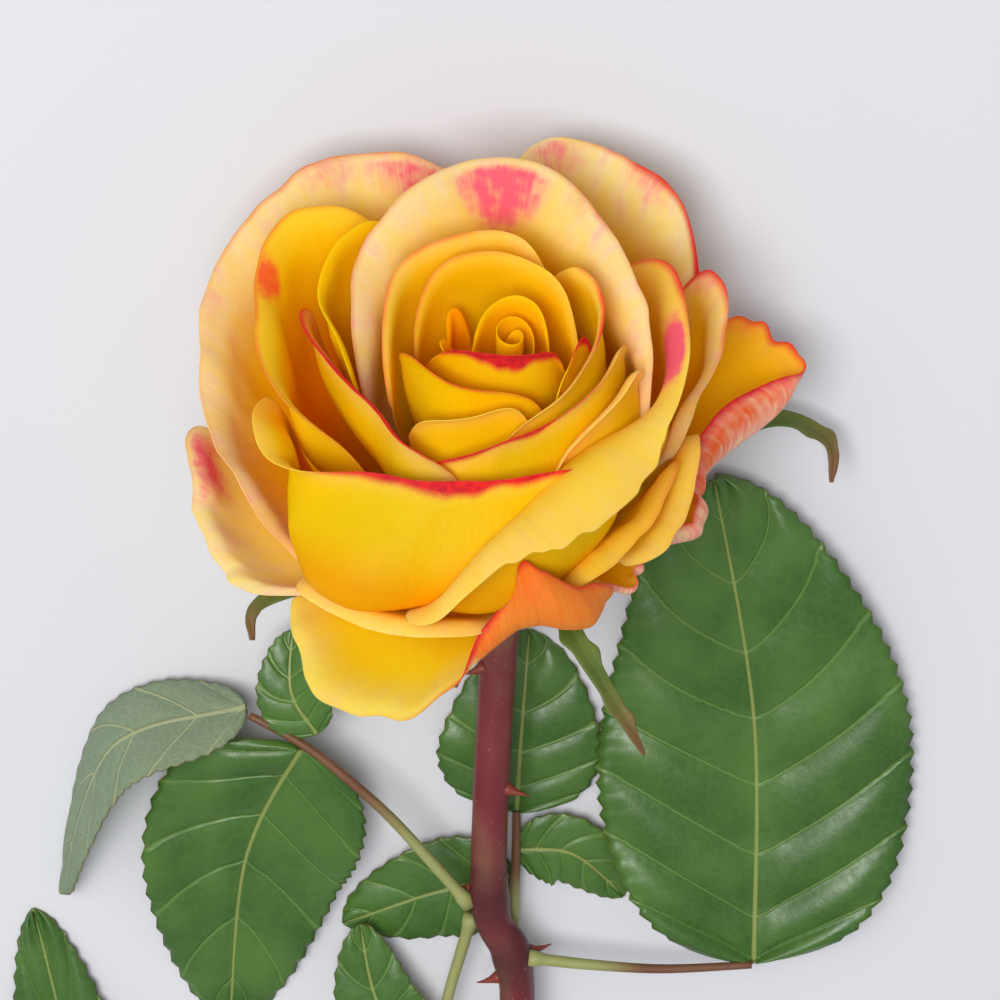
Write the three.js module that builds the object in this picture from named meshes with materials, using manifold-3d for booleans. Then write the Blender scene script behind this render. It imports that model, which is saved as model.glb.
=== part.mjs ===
// A cut rose laid down on a surface: an open bloom, its hip and sepals, a prickly stem and four leaves.
// Millimetres, +Z up. The stem runs along -Y and the bloom faces up and along +Y.
import * as THREE from 'three';
import Module from 'manifold-3d';
import { mergeVertices } from 'three/addons/utils/BufferGeometryUtils.js';

const wasm = await Module();
wasm.setup();

// ---- driving dimensions -------------------------------------------------------------------------
const BLOOM_HEIGHT = 32.3; // receptacle top above the surface
const BLOOM_TILT = 28; // degrees that the bloom's axis rises from the surface

const CUP_BASE = 6; // radius of the outermost full cup at its foot
const CORE_BASE = 1.2; // and of the innermost
const CUP_BELLY = 36; // how far the outermost cup swells beyond its foot
const CUP_RISE = 6; // height over which the cup swells
const FRONT_LEAN_RISE = 22; // height at which a front cup has taken most of its lean
const BACK_LEAN_RISE = 40;
const FOOT_STEP = 6; // how much lower each cup's foot is than the one a whole layer inside it
const GUARD_FOOT_STEP = 2; // the same, outside the outer layer
const GUARD_FOOT_SPREAD = 2; // growth of the foot's radius for each layer outside the full cup
const OUTER_LAYER = 1.2; // layer whose foot is level with the receptacle's rim
const FOOT_CLEARANCE = 0.5; // petal foot above the foot of its cup
const WIDEST_LAYER = 4; // layers are looked for up to this one
const LAYER_HALVINGS = 30;

const PETAL_THICKNESS = 0.4;
const PETAL_ROWS = 6;
const PETAL_STEP = 7; // length of margin to each column of a petal's grid
const LEAST_COLUMNS = 6;
const MOST_COLUMNS = 16;
const MOST_TURN = 24; // degrees that a column may turn about the axis
const CLAW = 0.3; // width of a petal's claw against its blade, in azimuth
const CLAW_WIDENING = 1.25; // how soon the blade reaches its full width
const CORNER_DROP = 0.4; // how far a petal's upper corners are rounded away
const CORNER_SHARPNESS = 7; // how near the corner the rounding keeps
const ROW_CROWDING = 1.7; // how much closer a petal's rows lie near its claw
const BELLY_SINK = 0.75; // how far below half height a petal's belly is fullest

const LEAF_THICKNESS = 0.5;
const LEAF_TIP = 0.35; // half width of a leaflet at its two ends
const LEAF_COLUMNS = 4;
const LEAF_ROWS = 10;
const SEPAL_THICKNESS = 0.6;
const SEPAL_TIP = 0.5;
const SEPAL_COLUMNS = 2;
const SEPAL_ROWS = 9;
const HIP_SIDES = 16;
const STEM_RADIUS = 3.7;
const STEM_SIDES = 10;
const STEM_STEPS = 44;
const STALK_RADIUS = 1.1;
const STALK_SIDES = 6;
const STALK_STEPS = 10;
const PRICKLE_LENGTH = 5;
const PRICKLE_RADIUS = 1.3;
const PRICKLE_SIDES = 6;
const PRICKLE_ROOT = 0.6; // depth of a prickle's foot in the stem
const PRICKLE_TILT = 0.35; // lean towards the cut end, as a slope

const GREEN = '#35602f';
const YELLOW = '#f6c21e';

const petalLook = new THREE.MeshStandardMaterial({ color: YELLOW, roughness: 0.55, metalness: 0 });
const leafLook = new THREE.MeshStandardMaterial({ color: GREEN, roughness: 0.4, metalness: 0 });
const calyxLook = new THREE.MeshStandardMaterial({ color: '#6d7f38', roughness: 0.6, metalness: 0 });
const stemLook = new THREE.MeshStandardMaterial({ color: '#6a3038', roughness: 0.55, metalness: 0 });

// How far the outermost full cup leans out (or in) at each azimuth, above its belly.
const LEAN = [[0, -3], [45, 4], [90, 12], [135, 11], [180, 5], [225, -6], [262, -17], [300, -11],
  [330, -6], [360, -3]];

// ---- petals -------------------------------------------------------------------------------------
// Each margin is a row of points: azimuth in degrees, radius and height above the receptacle.
// Azimuth 0 is the bloom's right, 90 its back (the side that lies down) and 270 its front.
const PETALS = {
  heart_petal_inner: [[-60, 3, 46], [0, 3, 48], [80, 2.5, 48.5], [160, 2.8, 48], [225, 4.2, 46.5]],
  heart_petal_outer: [
    [-22, 7, 46.5], [20, 6.2, 48], [80, 5.8, 49], [140, 5.8, 48], [185, 7.2, 47],
    [205, 8.6, 46],
  ],
  petaloid_left: [[160, 10, 40], [172, 12.5, 42], [186, 11, 41]],
  petaloid_back: [[126, 12, 40], [138, 14, 41.5], [152, 13.5, 40.5]],
  petal_01: [
    [172, 16, 45.5], [190, 12, 46], [215, 9, 46], [250, 7, 46], [290, 7, 46],
    [330, 8, 46.5], [355, 9, 47],
  ],
  petal_02: [
    [0, 12, 48], [28, 11, 50], [74, 12, 51], [109, 15, 51], [138, 18, 50],
    [157, 18.8, 48], [172, 18.3, 45],
  ],
  petal_03: [
    [165, 21.8, 44], [187, 17.5, 44], [214, 14.5, 43.5], [250, 11, 43], [282, 10.5, 43],
    [305, 10.5, 43.5],
  ],
  petal_04: [[298, 13, 43], [322, 12, 45], [345, 12, 47.5], [365, 13.6, 49]],
  petal_05: [
    [52, 14, 49.5], [71, 16, 50.5], [91, 19, 50.5], [123, 21, 50.5], [144, 23, 49.5],
    [159, 23.5, 48], [182, 23, 43],
  ],
  petal_06: [
    [205, 20, 38], [225, 18, 38.5], [243, 15.5, 40], [260, 13.5, 41.5], [275, 13, 42],
    [290, 12.8, 40.5],
  ],
  petal_07: [
    [248, 18, 38], [275, 15, 41], [322, 14.5, 45], [357, 15.5, 49], [374, 16, 50],
    [406, 17, 51], [435, 19, 49],
  ],
  petal_08: [
    [222, 21.5, 36], [246, 20, 37], [270, 17.5, 39], [304, 17, 42], [330, 18, 45],
    [350, 18.5, 48], [372, 20, 48],
  ],
  petal_09: [
    [285, 20.5, 35.5], [300, 20, 37], [315, 20, 39], [330, 21, 41], [345, 22, 43.5],
    [358, 22.3, 46],
  ],
  petal_10: [
    [152, 43.5, 42], [166, 38, 39], [177, 32.7, 38], [197, 26, 36.5], [220, 24, 35.5],
    [254, 20.8, 34],
  ],
  petal_11: [
    [120, 36.2, 47], [138, 36.8, 46], [150, 37, 45], [161, 35.5, 42], [172, 30.5, 40],
    [186, 26.8, 37],
  ],
  petal_12: [
    [-20, 23.5, 43], [2, 24, 46.5], [29, 24, 49], [60, 28, 51], [85, 34, 52],
    [101, 35, 52], [126, 34, 50], [146, 33, 46], [178, 27.3, 40],
  ],
  petal_13: [
    [122, 38, 48.5], [133, 43, 48], [145, 48, 45.5], [160, 47.5, 42], [170, 44.8, 40],
    [186, 41, 36], [201, 31.5, 32], [212, 27.5, 29.5],
  ],
  petal_14: [
    [176, 44.5, 31.5], [188, 46, 32], [198, 44, 31], [206, 37, 30], [217, 30, 31],
    [232, 26, 31.5], [255, 22.5, 33.5], [287, 22, 35.5], [318, 23, 35.5],
  ],
  petal_15: [
    [242, 40.5, 18], [250, 36.5, 21], [260, 31, 25], [275, 27, 28], [295, 25, 31],
    [318, 25, 33.5], [340, 26.5, 37], [360, 28, 41], [380, 30, 44], [400, 34, 46],
    [417, 33, 48],
  ],
  petal_16: [
    [283, 32.7, 14], [303, 31.4, 15.5], [319, 30.8, 17.5], [336, 30.4, 21], [350, 29.8, 26],
  ],
  petal_17: [[312, 34, 13.5], [328, 34, 15], [338, 33.5, 17], [350, 33, 21], [362, 33, 25]],
  petal_18: [
    [-6, 30.5, 24], [4, 32, 26], [12, 37, 28], [20, 40, 30], [29, 43, 33],
    [36, 43.5, 36], [43, 42, 38.5],
  ],
  petal_19: [[40, 46, 36], [53, 46.5, 41], [67, 47, 43], [80, 47.5, 44.5], [96, 45, 45]],
  petal_20: [
    [93, 39, 47], [106, 46, 46.5], [118, 51, 44.5], [131, 55, 42.5], [150, 57, 38.5],
    [166, 56, 34], [175, 54.5, 31], [184, 53, 27], [194, 50, 24], [208, 47, 20],
    [219, 45.5, 17],
  ],
  petal_21: [
    [212, 49, 12.5], [225, 46.5, 12.5], [238, 45, 12.5], [250, 42, 12.5], [258, 40, 12.5],
    [266, 37.2, 13.5],
  ],
  petal_22: [[176, 58, 26], [189, 56.8, 22], [199, 57, 18], [211, 56.5, 12.5], [219, 50, 11.5]],
  petal_23: [
    [214, 55, 9.5], [224, 54, 7.5], [235, 57, 5], [246, 55, 4], [256, 46, 5],
    [264, 41, 6.5], [275, 39, 7], [290, 38.5, 9], [304, 37, 12],
  ],
  petal_24: [
    [-58, 31, 2.5], [-42, 31, 3], [-27, 32, 4], [-12, 34, 5], [0, 37, 6.5],
    [10, 45, 9], [18, 55, 13], [26, 55.5, 18], [33, 53, 22], [40, 49, 24],
  ],
  petal_25: [[98, 43.5, 18], [115, 49, 20], [135, 52.3, 20], [158, 53, 17]],
  petal_26: [[45, 46, 17], [65, 47, 20], [85, 46.5, 21], [103, 47, 18]],
};

// How far a petal bulges out below its margin: azimuth and width of the bulge.
const BELLIES = {
  petal_14: [
    [176, 0], [190, 1.5], [200, 5], [210, 12], [220, 17], [230, 17], [240, 12], [246, 7.5],
    [255, 5], [265, 3], [275, 2], [290, 1], [318, 0],
  ],
};
const NO_BELLY = [[0, 0], [360, 0]];

// ---- stem and leaves ----------------------------------------------------------------------------
// Points are measured to the right of the receptacle top, along from it, and up from the surface.
const STEM_ROUTE = [
  [0, -13, 25.4], [-0.2, -19.6, 21.8], [-1.6, -30, 17.8], [-3, -50, 14.4], [-4.2, -93, 11.5], [0, -106, 10.8],
  [1.2, -122, 9.9], [-1, -170, 7.4], [2.5, -232, 5.4], [0.5, -290, 4.3], [1.5, -346, 3.75],
];

// Distance along the stem in millimetres from the bloom, and the turn about the stem in degrees.
const PRICKLES = [[30, 150], [55, 20], [80, 200], [97, -20], [101, 175], [128, 60], [150, 160], [176, 10],
  [205, 120], [236, 190], [262, 40], [296, 165], [322, 15]];

const LEAVES = {
  leaf_a: {
    stalk: [[-8.9, -93, 12.5], [-16, -83, 14], [-25, -71.5, 15], [-38, -60, 13.5], [-49.5, -54, 11]],
    leaflets: [
      { rib: [[-40.5, -61.5, 13], [-51.5, -88, 6], [-56, -128, 0.5]], width: 42, fold: 0.12 },
      { rib: [[-37.6, -55.2, 13], [-41.5, -48, 12.5], [-41, -37, 9]], width: 13, fold: 0.2, face: [-0.2, 0.1, 1] },
      { rib: [[-52, -53, 10.5], [-76, -61, 11], [-88, -97, 3]], width: 21, fold: 0, face: [-0.65, 0.75, 0.5] },
    ],
  },
  leaf_b: {
    stalk: [[4.7, -106.8, 11.5], [16, -108.5, 11], [30, -110, 10], [47, -110, 8.5]],
    leaflets: [
      { rib: [[47.5, -108, 8], [46.5, -59, 3], [37.5, -7, 7]], width: 62, fold: 0.1 },
    ],
  },
  leaf_c: {
    stalk: [[0.5, -106, 5.6], [0.5, -98, 5], [1, -88, 4], [1, -79, 3]],
    leaflets: [
      { rib: [[1.2, -77.5, 2.6], [2, -62, 3], [3.5, -41, 0.8]], width: 32, fold: 0.05 },
      { rib: [[3, -87.2, 3.4], [12, -88, 3.5], [22, -99, 0.6]], width: 15, fold: 0.05 },
      { rib: [[-1.2, -93, 3.6], [-15, -97, 3], [-33, -105, 0.6]], width: 22, fold: 0.05 },
    ],
  },
  leaf_d: {
    stalk: [[-7.9, -99.5, 9.5], [-11, -112, 8], [-16, -130, 6.5], [-27, -148, 5], [-38, -157, 4]],
    leaflets: [
      { rib: [[-17.6, -130, 6.3], [-26, -120, 7], [-29.5, -103, 5]], width: 17, fold: 0.1 },
      { rib: [[-14.4, -134, 5.6], [-12.4, -150, 4], [-15, -172, 0.6]], width: 14, fold: 0.1 },
      { rib: [[-40, -158, 3.8], [-78, -156, 6], [-94, -102, 0.6]], width: 30, fold: 0.1 },
    ],
  },
};

// Sepals: azimuth, radius and height of the points that the midrib passes through.
const SEPALS = {
  sepal_1: {
    width: 8,
    rib: [[30, 6.8, -4.4], [30, 20, -7], [28, 38, -7], [26, 54, -6], [20, 62, -10], [15, 61, -15]],
  },
  sepal_2: { width: 7, rib: [[98, 6.8, -4.4], [98, 13, -7], [97, 17, -13], [96, 18, -19]] },
  sepal_3: { width: 6, rib: [[200, 6.8, -4.4], [201, 20, -6.5], [202, 36, -6], [203, 49, -6], [208, 52, -9]] },
  sepal_4: { width: 6, rib: [[250, 6.8, -4.4], [251, 16, -6.5], [253, 27, -7], [254, 36, -9]] },
  sepal_5: { width: 8, rib: [[292, 6.8, -4.4], [292, 18, -5], [293, 30, -6], [297, 42, -13], [299, 48, -19]] },
};

// Hip and receptacle: radius and height along its axis, from the foot to the tip.
const HIP_PROFILE = [
  [0, -14.2], [3.6, -14.2], [4.6, -12.5], [5.7, -9.5], [5.9, -7.8], [5.4, -5.6], [5.3, -4],
  [5.9, -3], [6.1, -1.6], [5.4, -0.4], [4, 1.8], [2.4, 4.2], [1, 6], [0, 6.3],
];

// ---- shapes -------------------------------------------------------------------------------------
const lerp = THREE.MathUtils.lerp;
const clamp = THREE.MathUtils.clamp;
const sin = (degrees) => Math.sin(THREE.MathUtils.degToRad(degrees));
const cos = (degrees) => Math.cos(THREE.MathUtils.degToRad(degrees));

function cylindrical(degrees, radius, height) {
  return new THREE.Vector3(radius * cos(degrees), radius * sin(degrees), height);
}

// Smooth value at x through rows of [x, ...], with no overshoot between rows of equal value.
function through(rows, x, column) {
  let i = 0;
  while (i < rows.length - 2 && x > rows[i + 1][0]) {
    i += 1;
  }
  const slope = (j) => {
    const before = rows[Math.max(j - 1, 0)];
    const after = rows[Math.min(j + 1, rows.length - 1)];
    return (after[column] - before[column]) / (after[0] - before[0]);
  };
  const width = rows[i + 1][0] - rows[i][0];
  const t = clamp((x - rows[i][0]) / width, 0, 1);
  const t2 = t * t;
  const t3 = t2 * t;
  return (2 * t3 - 3 * t2 + 1) * rows[i][column] + (t3 - 2 * t2 + t) * width * slope(i)
    + (3 * t2 - 2 * t3) * rows[i + 1][column] + (t3 - t2) * width * slope(i + 1);
}

// Nested cups: a layer of 0 is the bloom's axis, and 1 the last full cup. Front cups close over the
// heart and back ones open away from it.
const lean = (azimuth) => through(LEAN, (azimuth + 360) % 360, 1);
const leanRise = (azimuth) => lerp(FRONT_LEAN_RISE, BACK_LEAN_RISE, (1 + sin(azimuth)) / 2);
const footStep = (layer) => (layer < OUTER_LAYER ? FOOT_STEP : GUARD_FOOT_STEP);
const footHeight = (layer) => footStep(layer) * (OUTER_LAYER - layer);

function cupRadius(layer, azimuth, height) {
  const guardFoot = CUP_BASE + GUARD_FOOT_SPREAD * (layer - 1);
  const foot = layer < 1 ? lerp(CORE_BASE, CUP_BASE, layer) : guardFoot;
  const swell = CUP_BELLY * (1 - Math.exp(-height / CUP_RISE));
  const leaned = 1 - Math.exp(-((height / leanRise(azimuth)) ** 3));
  return foot + layer * (swell + lean(azimuth) * leaned);
}

function layerAt(azimuth, radius, height) {
  let low = 0;
  let high = WIDEST_LAYER;
  for (let i = 0; i < LAYER_HALVINGS; i += 1) {
    const middle = (low + high) / 2;
    const reached = cupRadius(middle, azimuth, Math.max(0, height - footHeight(middle)));
    if (reached < radius) {
      low = middle;
    } else {
      high = middle;
    }
  }
  return low;
}

// A point of a petal: across runs from 0 to 1 along the margin, and up from 0 at the claw to 1.
function petalPoint(margin, belly, across, up) {
  const first = margin[0][0];
  const last = margin[margin.length - 1][0];
  const middle = (first + last) / 2;
  const side = 2 * across - 1;
  const spread = CLAW + (1 - CLAW) * sin(90 * Math.min(1, CLAW_WIDENING * up));
  const degrees = middle + side * ((last - first) / 2) * spread;
  const layer = layerAt(degrees, through(margin, degrees, 1), through(margin, degrees, 2));
  const top = through(margin, lerp(first, last, across), 2) - footHeight(layer);
  const corner = CORNER_DROP * Math.abs(side) ** CORNER_SHARPNESS;
  const rounded = lerp(top, FOOT_CLEARANCE, corner);
  const height = lerp(FOOT_CLEARANCE, rounded, up ** ROW_CROWDING);
  const bulge = through(belly, degrees, 1) * sin(180 * clamp(height / top, 0, 1) ** BELLY_SINK);
  return cylindrical(degrees, cupRadius(layer, degrees, height) + bulge, height + footHeight(layer));
}

function petalColumns(margin) {
  const turn = margin[margin.length - 1][0] - margin[0][0];
  const radius = Math.max(...margin.map((row) => row[1]));
  const arc = THREE.MathUtils.degToRad(turn) * radius;
  const columns = Math.ceil(Math.max(arc / PETAL_STEP, turn / MOST_TURN));
  return clamp(columns, LEAST_COLUMNS, MOST_COLUMNS);
}

// A closed sheet of even thickness about the surface that point(across, along) gives.
function sheet(point, columns, rows, thickness) {
  const grid = [];
  for (let j = 0; j <= rows; j += 1) {
    for (let i = 0; i <= columns; i += 1) {
      grid.push(point(i / columns, j / rows));
    }
  }
  const at = (i, j) => grid[j * (columns + 1) + i];
  const positions = [];
  const count = grid.length;
  for (const way of [0.5, -0.5]) {
    for (let j = 0; j <= rows; j += 1) {
      for (let i = 0; i <= columns; i += 1) {
        const across = at(Math.min(i + 1, columns), j).clone().sub(at(Math.max(i - 1, 0), j));
        const along = at(i, Math.min(j + 1, rows)).clone().sub(at(i, Math.max(j - 1, 0)));
        const normal = across.cross(along).normalize();
        positions.push(...at(i, j).clone().addScaledVector(normal, way * thickness).toArray());
      }
    }
  }
  const index = [];
  const upper = (i, j) => j * (columns + 1) + i;
  const lower = (i, j) => count + upper(i, j);
  const quad = (a, b, c, d) => index.push(a, b, c, a, c, d);
  for (let j = 0; j < rows; j += 1) {
    for (let i = 0; i < columns; i += 1) {
      quad(upper(i, j), upper(i + 1, j), upper(i + 1, j + 1), upper(i, j + 1));
      quad(lower(i, j), lower(i, j + 1), lower(i + 1, j + 1), lower(i + 1, j));
    }
    quad(upper(0, j), upper(0, j + 1), lower(0, j + 1), lower(0, j));
    quad(upper(columns, j + 1), upper(columns, j), lower(columns, j), lower(columns, j + 1));
  }
  for (let i = 0; i < columns; i += 1) {
    quad(upper(i + 1, 0), upper(i, 0), lower(i, 0), lower(i + 1, 0));
    quad(upper(i, rows), upper(i + 1, rows), lower(i + 1, rows), lower(i, rows));
  }
  const geometry = new THREE.BufferGeometry();
  geometry.setAttribute('position', new THREE.Float32BufferAttribute(positions, 3));
  geometry.setIndex(index);
  return geometry;
}

// A blade about a midrib: halfWidth(along) on both sides, its edges raised by fold.
function blade(ribPoints, halfWidth, columns, rows, thickness, fold = 0, face = [0, 0, 1]) {
  const rib = new THREE.CatmullRomCurve3(ribPoints);
  const up = new THREE.Vector3(...face).normalize();
  const point = (across, along) => {
    const tangent = rib.getTangent(along);
    const side = tangent.clone().cross(up).normalize();
    const normal = side.clone().cross(tangent);
    const offset = (2 * across - 1) * halfWidth(along);
    const spot = rib.getPoint(along).addScaledVector(side, offset);
    return spot.addScaledVector(normal, fold * Math.abs(offset));
  };
  return sheet(point, columns, rows, thickness);
}

// A leaflet is widest a little before its middle, and its tip is slightly narrower than its foot.
const leafOutline = (width) => (along) => {
  const fullness = Math.sin(Math.PI * along ** 0.8) ** 0.75;
  return LEAF_TIP + (width / 2) * fullness * (1 - 0.12 * along);
};
const sepalOutline = (width) => (along) => SEPAL_TIP + (width / 2) * (1 - along) ** 0.6 * (0.45 + along);

function tube(route, radius, sides, steps) {
  const section = new THREE.Shape();
  for (let i = 0; i < sides; i += 1) {
    const angle = (2 * Math.PI * i) / sides;
    const corner = [radius * Math.cos(angle), radius * Math.sin(angle)];
    if (i === 0) {
      section.moveTo(...corner);
    } else {
      section.lineTo(...corner);
    }
  }
  return new THREE.ExtrudeGeometry(section, { steps, bevelEnabled: false, extrudePath: route });
}

function toSolid(geometry) {
  const bare = geometry.clone();
  bare.deleteAttribute('normal');
  bare.deleteAttribute('uv');
  const merged = mergeVertices(bare, 1e-4);
  return new wasm.Manifold(new wasm.Mesh({
    numProp: 3,
    vertProperties: new Float32Array(merged.attributes.position.array),
    triVerts: new Uint32Array(merged.index.array),
  }));
}

function toGeometry(solid) {
  const mesh = solid.getMesh();
  const geometry = new THREE.BufferGeometry();
  geometry.setAttribute('position', new THREE.BufferAttribute(mesh.vertProperties, 3));
  geometry.setIndex(new THREE.BufferAttribute(mesh.triVerts, 1));
  return geometry;
}

const vectors = (points) => points.map((point) => new THREE.Vector3(...point));

function add(group, name, geometry, look) {
  const mesh = new THREE.Mesh(geometry, look);
  mesh.name = name;
  group.add(mesh);
}

// ---- bloom --------------------------------------------------------------------------------------
function makeBloom() {
  const bloom = new THREE.Group();
  for (const [name, margin] of Object.entries(PETALS)) {
    const belly = BELLIES[name] ?? NO_BELLY;
    const point = (across, up) => petalPoint(margin, belly, across, up);
    add(bloom, name, sheet(point, petalColumns(margin), PETAL_ROWS, PETAL_THICKNESS), petalLook);
  }
  for (const [name, { width, rib }] of Object.entries(SEPALS)) {
    const points = rib.map((point) => cylindrical(...point));
    const shape = blade(points, sepalOutline(width), SEPAL_COLUMNS, SEPAL_ROWS, SEPAL_THICKNESS);
    add(bloom, name, shape, calyxLook);
  }
  const profile = HIP_PROFILE.map(([radius, height]) => new THREE.Vector2(radius, height));
  const hip = new THREE.LatheGeometry(profile, HIP_SIDES);
  hip.rotateX(Math.PI / 2);
  add(bloom, 'hip', hip, calyxLook);
  bloom.rotation.x = -THREE.MathUtils.degToRad(90 - BLOOM_TILT);
  bloom.position.z = BLOOM_HEIGHT;
  return bloom;
}

// ---- stem ---------------------------------------------------------------------------------------
function makeStem() {
  const route = new THREE.CatmullRomCurve3(vectors(STEM_ROUTE));
  const length = route.getLength();
  let stem = toSolid(tube(route, STEM_RADIUS, STEM_SIDES, STEM_STEPS));
  for (const [distance, turn] of PRICKLES) {
    const along = distance / length;
    const tangent = route.getTangentAt(along);
    const outward = new THREE.Vector3(1, 0, 0).applyAxisAngle(tangent, THREE.MathUtils.degToRad(turn));
    outward.addScaledVector(tangent, PRICKLE_TILT - outward.dot(tangent)).normalize();
    const prickle = new THREE.ConeGeometry(PRICKLE_RADIUS, PRICKLE_LENGTH, PRICKLE_SIDES);
    const turned = new THREE.Quaternion().setFromUnitVectors(new THREE.Vector3(0, 1, 0), outward);
    prickle.applyQuaternion(turned);
    const reach = STEM_RADIUS - PRICKLE_ROOT + PRICKLE_LENGTH / 2;
    const middle = route.getPointAt(along).addScaledVector(outward, reach);
    prickle.translate(...middle.toArray());
    stem = stem.add(toSolid(prickle));
  }
  return toGeometry(stem);
}

// ---- leaves -------------------------------------------------------------------------------------
function makeLeaf(group, name, leaf) {
  const stalk = new THREE.CatmullRomCurve3(vectors(leaf.stalk));
  add(group, `${name}_stalk`, tube(stalk, STALK_RADIUS, STALK_SIDES, STALK_STEPS), calyxLook);
  leaf.leaflets.forEach(({ rib, face, width, fold }, i) => {
    const outline = leafOutline(width);
    const shape = blade(vectors(rib), outline, LEAF_COLUMNS, LEAF_ROWS, LEAF_THICKNESS, fold, face);
    add(group, `${name}_leaflet_${i + 1}`, shape, leafLook);
  });
}

// ---- assembly -----------------------------------------------------------------------------------
const rose = new THREE.Group();
rose.add(makeBloom());
add(rose, 'stem', makeStem(), stemLook);
for (const [name, leaf] of Object.entries(LEAVES)) {
  makeLeaf(rose, name, leaf);
}

// The origin is below the middle of the whole, on the surface that it lies on.
rose.updateMatrixWorld(true);
const box = new THREE.Box3().setFromObject(rose, true);
const centre = box.getCenter(new THREE.Vector3());
rose.position.set(-centre.x, -centre.y, -box.min.z);

export default rose;
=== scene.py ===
from itertools import accumulate
from math import ceil, copysign, cos, exp, pi, radians, sin, tau

import bmesh
import bpy
from mathutils import Matrix, Vector, noise


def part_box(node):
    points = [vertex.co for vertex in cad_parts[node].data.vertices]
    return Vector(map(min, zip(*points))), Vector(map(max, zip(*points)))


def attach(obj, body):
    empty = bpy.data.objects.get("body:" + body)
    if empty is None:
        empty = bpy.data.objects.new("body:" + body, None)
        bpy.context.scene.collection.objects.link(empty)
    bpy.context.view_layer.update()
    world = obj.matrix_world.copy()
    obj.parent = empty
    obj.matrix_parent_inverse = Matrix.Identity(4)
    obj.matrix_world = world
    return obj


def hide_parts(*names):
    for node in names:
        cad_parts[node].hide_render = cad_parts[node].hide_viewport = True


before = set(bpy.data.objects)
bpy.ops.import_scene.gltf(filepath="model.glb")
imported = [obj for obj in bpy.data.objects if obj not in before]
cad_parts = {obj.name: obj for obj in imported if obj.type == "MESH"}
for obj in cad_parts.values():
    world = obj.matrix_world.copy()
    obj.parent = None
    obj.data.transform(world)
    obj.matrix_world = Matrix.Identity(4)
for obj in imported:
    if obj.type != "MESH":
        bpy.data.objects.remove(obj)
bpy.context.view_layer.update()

MM = 0.001

# ---- driving dimensions, as in the frame ----
BLOOM_TILT = 28  # degrees that the bloom's axis rises from the surface
CORE_BASE = 1.2  # foot radius of the innermost of the nested cups, layer 0
CUP_BASE = 6  # and of layer 1
CUP_BASE_STEP = 2  # and how much it grows with each layer from there
CUP_BELLY = 36  # how far the wall of layer 1 swells out
CUP_RISE = 6  # and over what height
FRONT_LEAN_RISE = 22  # height at which the front of a cup starts to lean
BACK_LEAN_RISE = 40  # and the back
LEAN = [(0, -3), (45, 4), (90, 12), (135, 11), (180, 5), (225, -6), (262, -17), (300, -11), (330, -6),
        (360, -3)]  # azimuth, and how far layer 1 leans out there
OUTER_LAYER = 1.2  # the layer whose foot is at the receptacle's top
FOOT_STEP = 6  # how far the foot of a layer inside it stands above it, per layer
GUARD_FOOT_STEP = 2  # and how far one outside it hangs below
LAYER_LIMIT = 4.0  # no petal lies further out than this
FOOT_CLEARANCE = 0.5  # how far a petal stands off its foot
CLAW = 0.3  # width of a petal's foot, as a share of its margin's
HIP_PROFILE = [(0, -14.2), (3.6, -14.2), (4.6, -12.5), (5.7, -9.5), (5.9, -7.8), (5.4, -5.6), (5.3, -4),
               (5.9, -3), (6.1, -1.6), (5.4, -0.4), (4, 1.8), (2.4, 4.2), (1, 6), (0, 6.3)]

PETAL_THICKNESS = 0.24
LEAF_THICKNESS = 0.35
SEPAL_THICKNESS = 0.6
SEPAL_ROOT = 1.2  # how far a sepal reaches into the hip
LEAFLET_ROOT = 1.8  # and a leaflet towards its stalk
JOINT_DEPTH = 1.4  # and a stem or stalk into what carries it
TABLE_ROOM = 0.0004  # metres that the middle of a resting sheet stays above the surface

# ---- petals ----
# Each row of a list starts with an azimuth round the bloom.
# margin: radius and height of the petal's edge, as in the frame. corner: how far its ends drop.
# roll: width of the rolled edge and the degrees that it turns outwards, or inwards if negative.
# hold: 1 where the rolled edge stays at the margin, 0 where the roll's crest does.
# lift: how much higher the roll stands. bulge: how far the belly stands out.
# notches: spread in degrees and depth of tears. ruffle: height of the waves along the edge.
# red: width of the red edge. blush: spread in degrees, depth and strength of its patches.
# pale: strength and width of the cream edge. gold: how golden. deep: how orange at the
# foot, partly the petal's own colour and partly painted shade of the bloom's depths. warm: the
# least of that orange anywhere, painted shade for petals down in the heart. back: how pink the reverse is.
# back_red: how red it is, and from which azimuth to which.
PLAIN_PETAL = dict(roll=(), hold=[(0, 1)], lift=[(0, 0)], bulge=[(0, 0)], notches=(), ruffle=0.15, corner=0.4,
                   red=(), blush=(), pale=(0, 1), gold=0.5, deep=0.75, warm=0.0, back=0.0, back_red=(0, 0, 1))
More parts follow.
